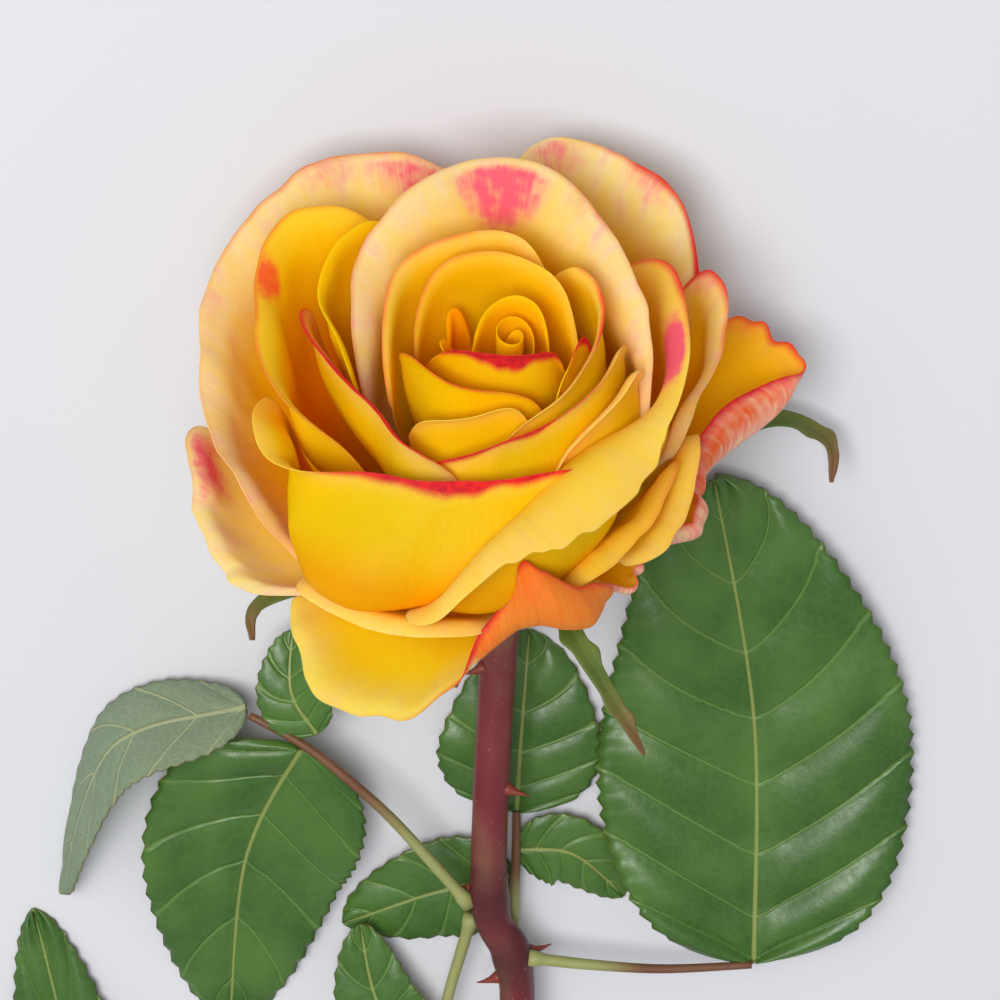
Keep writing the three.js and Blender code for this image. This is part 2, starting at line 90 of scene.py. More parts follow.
PETALS = dict(
    heart_petal_inner=dict(margin=[(-60, 4.2, 44), (0, 3.8, 45), (90, 3.2, 46.5), (200, 2.7, 46),
            (300, 2.1, 45.6), (400, 1.5, 46), (520, 0.9, 45.8)], gold=1.0, corner=0.1, warm=0.35),
    heart_petal_outer=dict(margin=[(-22, 7, 46.5), (20, 6.2, 48), (80, 5.8, 49), (140, 5.8, 48),
            (185, 7.2, 47), (205, 8.6, 46)], roll=[(0, 1.5, 40)], gold=0.9, warm=0.35),
    petaloid_left=dict(margin=[(160, 10, 40), (172, 12.5, 42), (186, 11, 41)], roll=[(0, 2, 50)], gold=1.0,
        warm=0.9),
    petaloid_back=dict(margin=[(126, 12, 40), (138, 14, 41.5), (152, 13.5, 40.5)], roll=[(0, 2, 50)],
        gold=1.0, warm=0.9),
    petal_01=dict(margin=[(172, 16, 46.5), (190, 12, 47.5), (215, 9, 48), (250, 7, 48), (290, 7, 48),
            (330, 8, 48), (355, 9, 48)], roll=[(0, 2.2, 45)], corner=0.3, warm=0.2, gold=0.9,
        red=[(185, 0.3), (205, 2.5), (225, 5), (250, 5.5), (290, 4.5), (320, 3), (345, 0.5)]),
    petal_02=dict(margin=[(0, 12, 48), (28, 11, 50), (74, 12, 51), (109, 15, 51), (138, 18, 50),
            (157, 18.8, 48), (172, 18.3, 45)], roll=[(0, 3.5, 35)], warm=0.26, gold=0.9, pale=(0.12, 3),
        red=[(0, 0.3), (60, 0.2), (120, 0.5), (172, 0.6)]),
    petal_03=dict(margin=[(165, 21.8, 44), (187, 17.5, 44), (214, 14.5, 43.5), (250, 11, 43), (282, 10.5, 43),
            (305, 10.5, 43.5)], roll=[(0, 2, 35)], corner=0.3, warm=0.08, gold=0.9,
        red=[(165, 0.4), (200, 0.9), (250, 0.6), (300, 0.4)]),
    petal_04=dict(margin=[(298, 13, 43), (322, 12, 45), (345, 12, 47.5), (365, 13.6, 49)], roll=[(0, 2, 35)],
        corner=0.3, warm=0.2, gold=0.8, red=[(320, 0.2), (340, 1.4), (356, 2.8), (365, 1)]),
    petal_05=dict(margin=[(52, 14, 49.5), (71, 16, 50.5), (91, 19, 50.5), (123, 21, 50.5), (144, 23, 49.5),
            (159, 23.5, 48), (182, 23, 43)], roll=[(0, 4.5, 38)], warm=0.14, gold=0.7, pale=(0.3, 4),
        red=[(52, 0.3), (85, 0.2), (120, 0.6), (182, 0.6)]),
    petal_06=dict(margin=[(205, 20, 38), (225, 18, 38.5), (243, 15.5, 40), (260, 13.5, 41.5), (275, 13, 42),
            (290, 12.8, 40.5)], roll=[(0, 2.5, 40)], corner=0.3, warm=0.12, gold=0.8, pale=(0.15, 4)),
    petal_07=dict(margin=[(248, 18, 38), (275, 15, 41), (322, 14.5, 45), (357, 15.5, 49), (374, 16, 50),
            (406, 17, 51), (435, 19, 49)], roll=[(0, 2.5, 55)], corner=0.3, warm=0.08, gold=0.7,
        pale=(0.25, 4), red=[(248, 0.3), (320, 0.4), (355, 1.2), (385, 1), (420, 0)]),
    petal_08=dict(margin=[(222, 21.5, 36), (246, 20, 37), (270, 17.5, 39), (304, 17, 42), (330, 18, 45),
            (350, 18.5, 48), (372, 20, 48)], roll=[(0, 3, 50)], corner=0.3, warm=0.12, gold=0.7,
        pale=(0.3, 5),
        red=[(222, 0.6), (236, 1.5), (250, 2.6), (265, 1.8), (282, 2.6), (300, 1.2), (320, 0.7), (350, 0.3)]),
    petal_09=dict(margin=[(285, 20.5, 35.5), (300, 20, 37), (315, 20, 39), (330, 21, 41), (345, 22, 43.5),
            (358, 22.3, 46)], roll=[(0, 4, 70)], corner=0.3, gold=0.9, warm=0.08, pale=(0.4, 7)),
    petal_10=dict(margin=[(152, 43.5, 42), (166, 38, 39), (177, 32.7, 38), (197, 26, 36.5), (220, 24, 35.5),
            (254, 20.8, 34)], roll=[(0, 3, 55)], corner=0.3, gold=0.9, warm=0.08, pale=(0.4, 7),
        red=[(152, 0.6), (165, 1.8), (185, 2.6), (205, 2.6), (222, 2.0), (240, 0.5)]),
    petal_11=dict(margin=[(120, 36.2, 47), (138, 36.8, 46), (150, 37, 45), (161, 35.5, 42), (172, 30.5, 40),
            (186, 26.8, 37)], roll=[(0, 2.5, 45)], gold=1.0, warm=0.1),
    petal_12=dict(margin=[(-20, 23.5, 43), (2, 24, 46.5), (29, 24, 49), (60, 28, 51), (85, 34, 52),
            (101, 35, 52), (126, 34, 50), (146, 33, 46), (178, 27.3, 40)],
        roll=[(-20, 7, 65), (30, 9, 70), (60, 10, 60), (95, 11, 48), (130, 10, 55), (178, 7, 50)], gold=0.6,
        pale=(0.95, 16), ruffle=0.4, blush=[(93, 16, 20, 1.25), (66, 7, 7, 0.5)],
        red=[(-20, 0.4), (45, 0.4), (60, 0.7), (75, 0.4), (178, 0.5)]),
    petal_13=dict(margin=[(122, 38, 48.5), (133, 43, 48), (145, 48, 45.5), (160, 47.5, 42), (170, 44.8, 40),
            (186, 41, 36), (201, 31.5, 32), (212, 27.5, 29.5)],
        roll=[(122, 7, 38), (160, 8, 45), (212, 4, 35)], gold=0.9, deep=1.1, pale=(0.08, 6), ruffle=0.4,
        blush=[(159, 5, 9, 1.3)], red=[(122, 0.3), (160, 0.6), (212, 0.4)]),
    petal_14=dict(margin=[(176, 44.5, 31.5), (188, 46, 32), (198, 44, 31), (206, 37, 30), (217, 30, 31),
            (232, 26, 31.5), (255, 22.5, 33.5), (287, 22, 35.5), (318, 23, 35.5)],
        roll=[(176, 10, 75), (190, 11, 85), (202, 8, 75), (211, 3, 45), (240, 2.5, 35), (318, 2.5, 30)],
        gold=1.0, deep=2.0, warm=0.1, pale=(0.2, 4), ruffle=0.2, corner=0.2,
        hold=[(176, 1), (196, 1), (210, 0)],
        bulge=[(176, 0), (190, 1.5), (200, 5), (210, 12), (220, 18), (230, 18), (240, 13), (246, 9.5),
            (255, 7), (265, 5), (275, 3.5), (290, 2), (318, 0)],
        red=[(205, 0.2), (215, 1.5), (232, 2.6), (247, 3.6), (262, 2.4), (285, 1.8), (308, 0.8)]),
    petal_15=dict(margin=[(242, 40.5, 18), (250, 36.5, 21), (260, 31, 25), (275, 27, 28), (295, 25, 31),
            (318, 25, 33.5), (340, 26.5, 37), (360, 28, 41), (380, 30, 44), (400, 34, 46), (417, 33, 48)],
        roll=[(242, 7, 100), (255, 11, 115), (275, 14.5, 118), (295, 17.5, 116), (318, 17, 108),
            (335, 12.5, 86), (352, 9, 65), (385, 8, 55), (417, 6, 50)],
        hold=[(242, 0.3), (275, 0.4), (300, 0.5), (325, 0.5), (345, 0.45), (375, 0.55), (417, 1)],
        lift=[(242, 2), (260, 3.2), (285, 3.6), (318, 3.5), (345, 2), (370, 0), (417, 0)], gold=0.8, deep=1.6,
        warm=0.12, pale=(0.3, 15), ruffle=0.04, blush=[(363, 12, 18, 1.9)],
        red=[(350, 0), (370, 0.6), (385, 1.2), (405, 0.9), (417, 0.4)]),
    petal_16=dict(margin=[(283, 32.7, 14), (303, 31.4, 15.5), (319, 30.8, 17.5), (336, 30.4, 21),
            (350, 29.8, 26)], roll=[(0, 5, 55)], gold=0.9, warm=0.1, pale=(0.2, 6), ruffle=0.5,
        red=[(283, 0.3), (350, 0.5)]),
    petal_17=dict(margin=[(312, 34, 13.5), (328, 34, 15), (338, 33.5, 17), (350, 33, 21), (362, 33, 25)],
        roll=[(0, 5, 50)], gold=0.9, warm=0.08, pale=(0.35, 7), ruffle=0.8, red=[(312, 0.3), (362, 0.4)]),
    petal_18=dict(margin=[(-6, 30.5, 24), (4, 32, 26), (12, 37, 28), (20, 40, 30), (29, 43, 33),
            (36, 43.5, 36), (43, 42, 38.5)], roll=[(0, 6, 55)], gold=0.7, pale=(0.8, 10), ruffle=0.6,
        red=[(-6, 0.3), (15, 0.5), (33, 1.4), (43, 2)], blush=[(36, 10, 8, 0.6)]),
    petal_19=dict(margin=[(40, 46, 36), (53, 46.5, 41), (67, 47, 43), (80, 47.5, 44.5), (96, 45, 45)],
        roll=[(0, 9, 45)], gold=0.3, pale=(1.0, 23), ruffle=0.7,
        red=[(40, 2.2), (50, 1.8), (60, 1.3), (72, 0.5), (96, 0.2)],
        blush=[(80, 9, 10, 0.7), (58, 9, 9, 0.6)]),
    petal_20=dict(margin=[(93, 39, 47), (106, 46, 46.5), (118, 51, 44.5), (131, 55, 42.5), (150, 57, 38.5),
            (166, 56, 34), (175, 54.5, 31), (184, 53, 27), (194, 50, 24), (208, 47, 20), (219, 45.5, 17)],
        roll=[(93, 9, 45), (130, 10, 40), (175, 8, 35), (219, 4, 30)], gold=0.5, pale=(1.0, 19), ruffle=0.6,
        blush=[(108, 14, 14, 0.95), (128, 9, 9, 0.6), (165, 14, 7, 0.4)],
        red=[(93, 0.4), (130, 0.7), (160, 0.4), (219, 0.4)]),
    petal_21=dict(margin=[(212, 49, 12.5), (225, 46.5, 12.5), (238, 45, 12.5), (250, 42, 12.5),
            (258, 40, 12.5), (266, 37.2, 13.5)], roll=[(0, 4, 80)], gold=0.8, pale=(0.4, 6), ruffle=0.3,
        deep=0.2),
    petal_22=dict(margin=[(176, 58, 26), (189, 56.8, 22), (199, 57, 18), (211, 56.5, 12.5), (219, 50, 11.5)],
        roll=[(0, 4, 60)], gold=0.2, pale=(1.0, 24), ruffle=0.7,
        notches=[(207, 1.2, 3), (212, 0.8, 2), (195, 1, 1.2)], blush=[(188, 8, 15, 1.0), (205, 9, 8, 0.35)],
        red=[(176, 0.6), (190, 0.4), (219, 0.2)]),
    petal_23=dict(margin=[(214, 55, 9.5), (224, 54, 7.5), (235, 57, 5), (246, 55, 4), (256, 46, 5),
            (264, 41, 6.5), (275, 39, 7), (290, 38.5, 9), (304, 37, 12)],
        roll=[(214, 4, 45), (246, 4, 40), (257, 3, 10), (264, 8, -130), (270, 14, -155), (276, 22, -162),
            (284, 20, -160), (291, 16, -155), (298, 9, -150), (304, 4, -140)], gold=0.35, pale=(0.35, 10),
        ruffle=0.6, deep=0.2, back=0.2, back_red=(1.0, 262, 320), hold=[(0, 0)],
        lift=[(264, 0), (272, 3), (279, 4), (290, 1), (304, 0)],
        red=[(214, 0.2), (254, 0.5), (262, 1.4), (280, 0.9), (304, 0.9)]),
    petal_24=dict(margin=[(-58, 31, 2.5), (-42, 31, 3), (-27, 32, 4), (-12, 34, 5), (0, 37, 6.5), (10, 45, 9),
            (18, 55, 13), (26, 55.5, 18), (33, 53, 22), (40, 49, 24)],
        roll=[(-58, 4, -90), (-30, 7, -120), (-10, 11, -140), (6, 14, -150), (13, 11, -140), (19, 3, -30),
            (22, 2, 20), (40, 3, 50)], gold=1.0, pale=(0.1, 7), ruffle=0.8, back=1.0, warm=0.5, hold=[(0, 0)],
        notches=[(28, 1.5, 4), (33, 1, 2), (23, 0.8, 1.5), (38, 1.2, 2)],
        red=[(-58, 0.4), (-12, 1), (10, 1.8), (22, 1.4), (32, 1), (40, 0.8)],
        blush=[(0, 22, 12, 0.9), (34, 9, 6, 0.5)]),
    petal_25=dict(margin=[(98, 43.5, 18), (115, 49, 20), (135, 52.3, 20), (158, 53, 17)], roll=[(0, 3, 40)],
        gold=0.3, pale=(0.9, 14), ruffle=0.5, back=0.7, red=[(98, 0.5), (158, 0.5)]),
    petal_26=dict(margin=[(45, 46, 17), (65, 47, 20), (85, 46.5, 21), (103, 47, 18)], roll=[(0, 3, 40)],
        gold=0.3, pale=(0.9, 14), ruffle=0.5, back=0.7, red=[(45, 0.5), (103, 0.5)]),
)

# ---- sepals, stem and leaves ----
# rib: azimuth, radius and height of points along the midrib, as for the petals. lobes: how deeply
# its edges are cut.
SEPALS = dict(
    sepal_1=dict(
        width=8, lobes=1.0,
        rib=[(30, 6.8, -4.4), (30, 20, -7), (28, 38, -7), (26, 54, -6), (20, 62, -10), (15, 61, -15)]),
    sepal_2=dict(width=7, lobes=0.2, rib=[(98, 6.8, -4.4), (98, 13, -7), (97, 17, -13), (96, 18, -19)]),
    sepal_3=dict(
        width=6, lobes=0.3,
        rib=[(200, 6.8, -4.4), (201, 20, -6.5), (202, 36, -6), (203, 49, -6), (208, 52, -9)]),
    sepal_4=dict(
        width=6, lobes=0.2, rib=[(250, 6.8, -4.4), (251, 16, -6.5), (253, 27, -7), (254, 36, -9)]),
    sepal_5=dict(
        width=6.5, lobes=0.9,
        rib=[(292, 6.8, -4.4), (292, 18, -5), (293, 30, -6), (297, 42, -13), (299, 48, -19)]),
)

# Points are measured to the right of the receptacle top, along from it, and up from the surface.
STEM_ROUTE = [(0, -13, 25.4), (-0.2, -19.6, 21.8), (-1.6, -30, 17.8), (-3, -50, 14.4), (-4.2, -93, 11.5),
              (0, -106, 10.8), (1.2, -122, 9.9), (-1, -170, 7.4), (2.5, -232, 5.4), (0.5, -290, 4.3),
              (1.5, -346, 3.75)]
# Each prickle's distance along the stem and the degrees that it is turned round it.
PRICKLES = [(30, 150), (55, 20), (80, 200), (97, -20), (101, 175), (128, 60), (150, 160), (176, 10),
            (205, 120), (236, 190), (262, 40), (296, 165), (322, 15)]

# width: across the widest place. fold: how steeply the halves rise from the midrib. face: the way
# that the upper side looks, if not straight up.
LEAVES = dict(
    leaf_a=dict(
        stalk=[(-8.9, -93, 12.5), (-16, -83, 14), (-25, -71.5, 15), (-38, -60, 13.5), (-49.5, -54, 11)],
        leaflets=[
            dict(rib=[(-40.5, -61.5, 13), (-51.5, -88, 6), (-56, -128, 0.5)], width=42, fold=0.12),
            dict(rib=[(-37.6, -55.2, 13), (-41.5, -48, 12.5), (-41, -37, 9)], width=13, fold=0.2,
                 face=(-0.2, 0.1, 1)),
            dict(rib=[(-52, -53, 10.5), (-76, -61, 11), (-88, -97, 3)], width=21, fold=0,
                 face=(-0.65, 0.75, 0.5), underside_up=True),
        ]),
    leaf_b=dict(
        stalk=[(4.7, -106.8, 11.5), (16, -108.5, 11), (30, -110, 10), (47, -110, 8.5)],
        leaflets=[
            dict(rib=[(47.5, -108, 8), (46.5, -59, 3), (37.5, -7, 7)], width=62, fold=0.1),
        ]),
    leaf_c=dict(
        stalk=[(0.5, -106, 5.6), (0.5, -98, 5), (1, -88, 4), (1, -79, 3)],
        leaflets=[
            dict(rib=[(1.2, -77.5, 2.6), (2, -62, 3), (3.5, -41, 0.8)], width=32, fold=0.05),
            dict(rib=[(3, -87.2, 3.4), (12, -88, 3.5), (22, -99, 0.6)], width=15, fold=0.05),
            dict(rib=[(-1.2, -93, 3.6), (-15, -97, 3), (-33, -105, 0.6)], width=22, fold=0.05),
        ]),
    leaf_d=dict(
        stalk=[(-7.9, -99.5, 9.5), (-11, -112, 8), (-16, -130, 6.5), (-27, -148, 5), (-38, -157, 4)],
        leaflets=[
            dict(rib=[(-17.6, -130, 6.3), (-26, -120, 7), (-29.5, -103, 5)], width=17, fold=0.1),
            dict(rib=[(-14.4, -134, 5.6), (-12.4, -150, 4), (-15, -172, 0.6)], width=14, fold=0.1),
            dict(rib=[(-40, -158, 3.8), (-78, -156, 6), (-94, -102, 0.6)], width=30, fold=0.1),
        ]),
)

# ---- small helpers ----


def lerp(a, b, t):
    return a + (b - a) * t


def clamp(value, low=0.0, high=1.0):
    return max(low, min(high, value))


def smooth(value, low, high):
    t = clamp((value - low) / (high - low))
    return t * t * (3 - 2 * t)


def hump(distance, spread):
    return exp(-(distance / spread) ** 2)


def through(rows, x, column=1):
    """Smooth value at x through rows that start with x; the end values hold beyond the ends."""
    if len(rows) == 1:
        return rows[0][column]
    i = 0
    while i < len(rows) - 2 and x > rows[i + 1][0]:
        i += 1

    def slope(j):
        before = rows[max(j - 1, 0)]
        after = rows[min(j + 1, len(rows) - 1)]
        return (after[column] - before[column]) / (after[0] - before[0])

    width = rows[i + 1][0] - rows[i][0]
    t = clamp((x - rows[i][0]) / width)
    t2 = t * t
    t3 = t2 * t
    return ((2 * t3 - 3 * t2 + 1) * rows[i][column] + (t3 - 2 * t2 + t) * width * slope(i)
            + (3 * t2 - 2 * t3) * rows[i + 1][column] + (t3 - t2) * width * slope(i + 1))


def along_curve(points, t):
    """A point of the smooth curve through the points, t from 0 to 1."""
    last = len(points) - 1
    place = clamp(t) * last
    i = min(int(place), last - 1)
    t = place - i
    a, b, c, d = (Vector(points[clamp(k, 0, last)]) for k in (i - 1, i, i + 1, i + 2))
    return 0.5 * (2 * b + (c - a) * t + (2 * a - 5 * b + 4 * c - d) * t * t
                  + (3 * b - a - 3 * c + d) * t ** 3)


def curve_direction(points, t):
    return (along_curve(points, t + 0.01) - along_curve(points, t - 0.01)).normalized()


def distances_along(points):
    return list(accumulate([0.0] + [(b - a).length for a, b in zip(points, points[1:])]))


def cylindrical(azimuth, radius, height):
    a = radians(azimuth)
    return Vector((radius * cos(a), radius * sin(a), height))


def ripple_at(x, y, z):
    """Smooth noise at a point, from -1 to 1 and the same on each run."""
    return noise.noise(Vector((x, y, z)))


# ---- the bloom's place ----
tilt = radians(BLOOM_TILT)
hip_low, hip_high = (Vector(corner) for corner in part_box("hip"))
hip_reach_y = max(h * cos(tilt) + r * sin(tilt) for r, h in HIP_PROFILE)
hip_reach_z = max(h * sin(tilt) + r * cos(tilt) for r, h in HIP_PROFILE)
RECEPTACLE = Vector(((hip_low.x + hip_high.x) / 2, hip_high.y - hip_reach_y * MM,
                     hip_high.z - hip_reach_z * MM))
BLOOM = Matrix.Translation(RECEPTACLE) @ Matrix.Rotation(tilt - pi / 2, 4, "X") @ Matrix.Scale(MM, 4)
GROUND = Matrix.Translation((RECEPTACLE.x, RECEPTACLE.y, 0)) @ Matrix.Scale(MM, 4)


# ---- material building ----
class Finish:
    """A node material and the few kinds of node that the finishes share."""

    def __init__(self, name):
        self.material = bpy.data.materials.new(name)
        self.material.use_nodes = True
        self.tree = self.material.node_tree
        self.shader = self.tree.nodes["Principled BSDF"]

    def node(self, kind, inputs=(), output=0, **settings):
        made = self.tree.nodes.new("ShaderNode" + kind)
        for key, value in settings.items():
            setattr(made, key, value)
        for socket, value in dict(inputs).items():
            self.feed(made.inputs[socket], value)
        return made.outputs[output]

    def feed(self, socket, value):
        if isinstance(value, bpy.types.NodeSocket):
            self.tree.links.new(value, socket)
        else:
            socket.default_value = value

    def set(self, **values):
        for name, value in values.items():
            self.feed(self.shader.inputs[name.replace("_", " ")], value)

    def math(self, operation, a, b=0.0, clamped=False):
        return self.node("Math", {0: a, 1: b}, operation=operation, use_clamp=clamped)

    def times(self, a, b, clamped=False):
        return self.math("MULTIPLY", a, b, clamped)

    def mix(self, factor, a, b):
        return self.node("Mix", {0: factor, 6: a, 7: b}, output=2, data_type="RGBA")

    def span(self, value, low, high, to_low=0.0, to_high=1.0):
        return self.node("MapRange", {0: value, 1: low, 2: high, 3: to_low, 4: to_high},
                         interpolation_type="SMOOTHSTEP")

    def read(self, name):
        return self.node("Attribute", output=2, attribute_name=name)

    def coordinates(self, kind="Object", scale=(1, 1, 1)):
        place = self.node("TexCoord", output=kind)
        return self.node("Mapping", {"Vector": place, "Scale": scale})

    def noise(self, vector, scale, detail=3.0, roughness=0.5):
        return self.node("TexNoise", {"Vector": vector, "Scale": scale, "Detail": detail,
                                                "Roughness": roughness})

    def cells(self, vector, scale, feature="F1"):
        return self.node("TexVoronoi", {"Vector": vector, "Scale": scale}, feature=feature)

    def bump(self, height, strength, depth):
        normal = self.node("Bump", {"Height": height, "Strength": strength, "Distance": depth})
        self.feed(self.shader.inputs["Normal"], normal)

    def glow(self, weight, radius, scale):
        self.set(Subsurface_Weight=weight, Subsurface_Radius=radius, Subsurface_Scale=scale)


def rgb(red, green, blue):
    return (red, green, blue, 1)


LEMON = rgb(1.0, 0.62, 0.012)
GOLD = rgb(1.0, 0.52, 0.001)
DEEP_ORANGE = rgb(1.0, 0.33, 0.0)
CREAM = rgb(0.96, 0.63, 0.34)
BLUSHED_CREAM = rgb(0.96, 0.47, 0.34)
PINK = rgb(0.96, 0.12, 0.18)
RED = rgb(0.70, 0.025, 0.025)
CRIMSON = rgb(0.46, 0.012, 0.03)
SCARLET = rgb(0.95, 0.13, 0.02)
FLAME = rgb(1.0, 0.24, 0.02)
SPECKLE = rgb(0.60, 0.20, 0.01)
LEAF_GREENS = rgb(0.034, 0.105, 0.012), rgb(0.070, 0.165, 0.026)
LEAF_NET, LEAF_VEIN = rgb(0.10, 0.20, 0.04), rgb(0.16, 0.28, 0.06)
LEAF_MIDRIB = rgb(0.25, 0.31, 0.08)
UNDERSIDE_GREENS = rgb(0.16, 0.22, 0.13), rgb(0.22, 0.29, 0.19)
UNDERSIDE_NET, UNDERSIDE_VEIN = rgb(0.3, 0.36, 0.24), rgb(0.36, 0.40, 0.22)
LEAF_EDGE = rgb(0.16, 0.10, 0.03)
CALYX_GREENS, CALYX_TIP = (rgb(0.07, 0.13, 0.016), rgb(0.12, 0.18, 0.028)), rgb(0.20, 0.055, 0.03)
STEM_REDS, STEM_OLIVE = (rgb(0.16, 0.018, 0.024), rgb(0.21, 0.045, 0.040)), rgb(0.17, 0.17, 0.06)
STEM_NODE, STEM_GREENS = rgb(0.06, 0.008, 0.010), (rgb(0.10, 0.16, 0.035), rgb(0.18, 0.22, 0.06))
LENTICEL, THORN = rgb(0.36, 0.22, 0.16), rgb(0.22, 0.035, 0.02)
STALK_GREENS = rgb(0.26, 0.28, 0.09), rgb(0.36, 0.37, 0.14)
STALK_BROWNS = rgb(0.13, 0.05, 0.025), rgb(0.20, 0.09, 0.04)


def petal_finish(name, reverse):
    f = Finish(name)
    place = f.coordinates()
    fibre = f.noise(f.coordinates("UV", (15, 1, 1)), 1.0, 4, 0.62)
    cloud = f.noise(f.coordinates("UV", (2.6, 1.2, 1)), 1, 2)
    slow = f.noise(f.coordinates("UV", (0.9, 0.3, 1)), 1, 1)
    broad = f.noise(place, 70, 2)
    fine = f.noise(place, 900, 4, 0.6)
    red, back, pale = f.read("red"), f.read("back"), f.read("pale")

    # yellow, orange towards the foot (own colour plus painted shade of the depths); the reverse is creamy and
    # veined where it is asked for
    gilded = f.math("ADD", f.read("gold"), f.span(broad, 0.3, 0.7, -0.25, 0.25), True)
    face = f.mix(gilded, LEMON, GOLD)
    # painted shade: this orange stands partly for the petal's own colour at its foot and partly for light
    # bounced orange in the bloom's shaded depths
    face = f.mix(f.read("deep"), face, DEEP_ORANGE)
    face = f.mix(f.span(fibre, 0.45, 0.75, 0.0, 0.12), face, DEEP_ORANGE)
    if reverse:
        face = f.mix(back, face, f.mix(cloud, CREAM, BLUSHED_CREAM))
        veins = f.times(back, f.span(fibre, 0.32, 0.66), True)
        face = f.mix(f.times(veins, 0.72), face, PINK)

    # the cream rim, and a reverse that is red all over
    cream = f.times(pale, f.span(cloud, 0.25, 0.7, 0.65, 1.1), True)
    face = f.mix(cream, face, f.mix(f.span(cloud, 0.5, 0.85), CREAM, BLUSHED_CREAM))
    if reverse:
        fired = f.times(f.read("back_red"), f.span(fibre, 0.2, 0.7, 0.8, 1.0))
        face = f.mix(fired, face, f.mix(cloud, SCARLET, FLAME))

    # blush: pink on cream, scarlet on yellow
    blush = f.times(f.read("blush"), f.span(cloud, 0.25, 0.6, 0.8, 1.1))
    blush = f.times(blush, f.span(fibre, 0.3, 0.7, 0.82, 1.1))
    blush = f.times(blush, f.span(f.noise(place, 420), 0.3, 0.7, 0.75, 1.1))
    flush = f.mix(f.span(pale, 0.05, 0.18), SCARLET, PINK)
    face = f.mix(f.span(blush, 0.15, 1.05), face, flush)

    # the red edge, of uneven width
    width = f.times(red, f.span(slow, 0.3, 0.7, 0.7, 1.2))
    width = f.times(width, f.span(fibre, 0.3, 0.7, 0.97, 1.03))
    edge = f.span(f.math("SUBTRACT", f.read("rim"), width), -1.5, 0.8, 1, 0)
    edge = f.times(edge, f.span(red, 0.1, 0.6))
    face = f.mix(edge, face, f.mix(f.span(fine, 0.35, 0.7), RED, CRIMSON) if reverse else RED)

    specks = f.span(f.cells(place, 420), 0.03, 0.075, 1, 0)
    specks = f.times(specks, f.span(f.noise(place, 160), 0.58, 0.66))
    face = f.mix(f.times(specks, 0.3), face, SPECKLE)
    f.set(Base_Color=face, Roughness=f.span(fine, 0.3, 0.7, 0.42, 0.58), Specular_IOR_Level=0.07)
    f.glow(weight=0.8, radius=(1.0, 0.6, 0.12), scale=0.0012)
    f.bump(f.math("ADD", fibre, f.times(fine, 0.25)), strength=0.4, depth=0.0002)
    return f.material


def leaf_finish(name, underside):
    f = Finish(name)
    place = f.coordinates()
    mottle = f.noise(place, 60, 3)
    fine = f.noise(place, 700, 4)
    wave = f.math("SUBTRACT", f.math("FRACT", f.read("phase")), 0.5)
    lateral = f.times(f.math("ABSOLUTE", wave), f.read("pitch"))
    midrib = f.span(f.read("mid"), 0.25, 0.8, 1, 0)
    side_vein = f.times(f.span(lateral, 0.1, 0.6, 1, 0), 0.9)
    vein = f.math("MAXIMUM", midrib, side_vein)
    net = f.span(f.cells(place, 480, "DISTANCE_TO_EDGE"), 0.02, 0.14, 1, 0)
    if underside:
        blade = f.mix(mottle, *UNDERSIDE_GREENS)
        blade = f.mix(f.times(net, 0.25), blade, UNDERSIDE_NET)
        blade = f.mix(vein, blade, UNDERSIDE_VEIN)
        relief = f.math("ADD", f.times(vein, 2.0), f.times(net, 0.3))
        f.set(Roughness=0.6, Specular_IOR_Level=0.3)
    else:
        blade = f.mix(f.span(mottle, 0.3, 0.7), *LEAF_GREENS)
        blade = f.mix(f.times(net, 0.16), blade, LEAF_NET)
        blade = f.mix(f.times(side_vein, 0.5), blade, LEAF_VEIN)
        blade = f.mix(f.times(midrib, 0.9), blade, LEAF_MIDRIB)
        relief = f.math("SUBTRACT", f.times(vein, -2.0), f.times(net, 0.05))
        f.set(Roughness=f.span(fine, 0.3, 0.7, 0.30, 0.44), Specular_IOR_Level=0.5)
    edge = f.span(f.read("rim"), 0.0, 0.35, 1, 0)
    f.set(Base_Color=f.mix(f.times(edge, 0.5), blade, LEAF_EDGE))
    f.glow(weight=0.12, radius=(0.4, 0.8, 0.1), scale=0.0015)
    f.bump(f.math("ADD", relief, f.times(fine, 0.12)), strength=0.5, depth=0.0003)
    return f.material


def calyx_finish(name):
    f = Finish(name)
    place = f.coordinates()
    mottle = f.noise(place, 120, 3)
    skin = f.mix(f.span(mottle, 0.3, 0.7), *CALYX_GREENS)
    skin = f.mix(f.times(f.read("tip"), f.span(mottle, 0.2, 0.8, 0.6, 1.0)), skin, CALYX_TIP)
    f.set(Base_Color=skin, Roughness=0.55, Specular_IOR_Level=0.35)
    f.glow(weight=0.1, radius=(0.5, 0.8, 0.2), scale=0.001)
    f.bump(f.noise(place, 1500, 3), strength=0.4, depth=0.0002)
    return f.material


def stem_finish(name):
    f = Finish(name)
    grain = f.noise(f.coordinates("Object", (1.0, 0.06, 1)), 900.0, 3, 0.6)
    patches = f.noise(f.coordinates("Object", (1.0, 0.35, 1)), 110.0, 3)
    dots = f.span(f.cells(f.coordinates("Object", (1.0, 0.5, 1)), 650.0), 0.05, 0.12, 1, 0)
    skin = f.mix(f.span(patches, 0.35, 0.7), *STEM_REDS)
    skin = f.mix(f.times(f.span(patches, 0.5, 0.8), 0.6), skin, STEM_OLIVE)
    skin = f.mix(f.times(f.read("node"), 0.8), skin, STEM_NODE)
    skin = f.mix(f.read("green"), skin, f.mix(grain, *STEM_GREENS))
    skin = f.mix(f.times(dots, 0.5), skin, LENTICEL)
    skin = f.mix(f.read("thorn"), skin, THORN)
    f.set(Base_Color=skin, Roughness=f.span(grain, 0.3, 0.7, 0.38, 0.55), Specular_IOR_Level=0.45)
    f.glow(weight=0.08, radius=(0.8, 0.3, 0.2), scale=0.001)
    f.bump(f.math("ADD", grain, f.times(dots, 0.6)), strength=0.35, depth=0.0002)
    return f.material


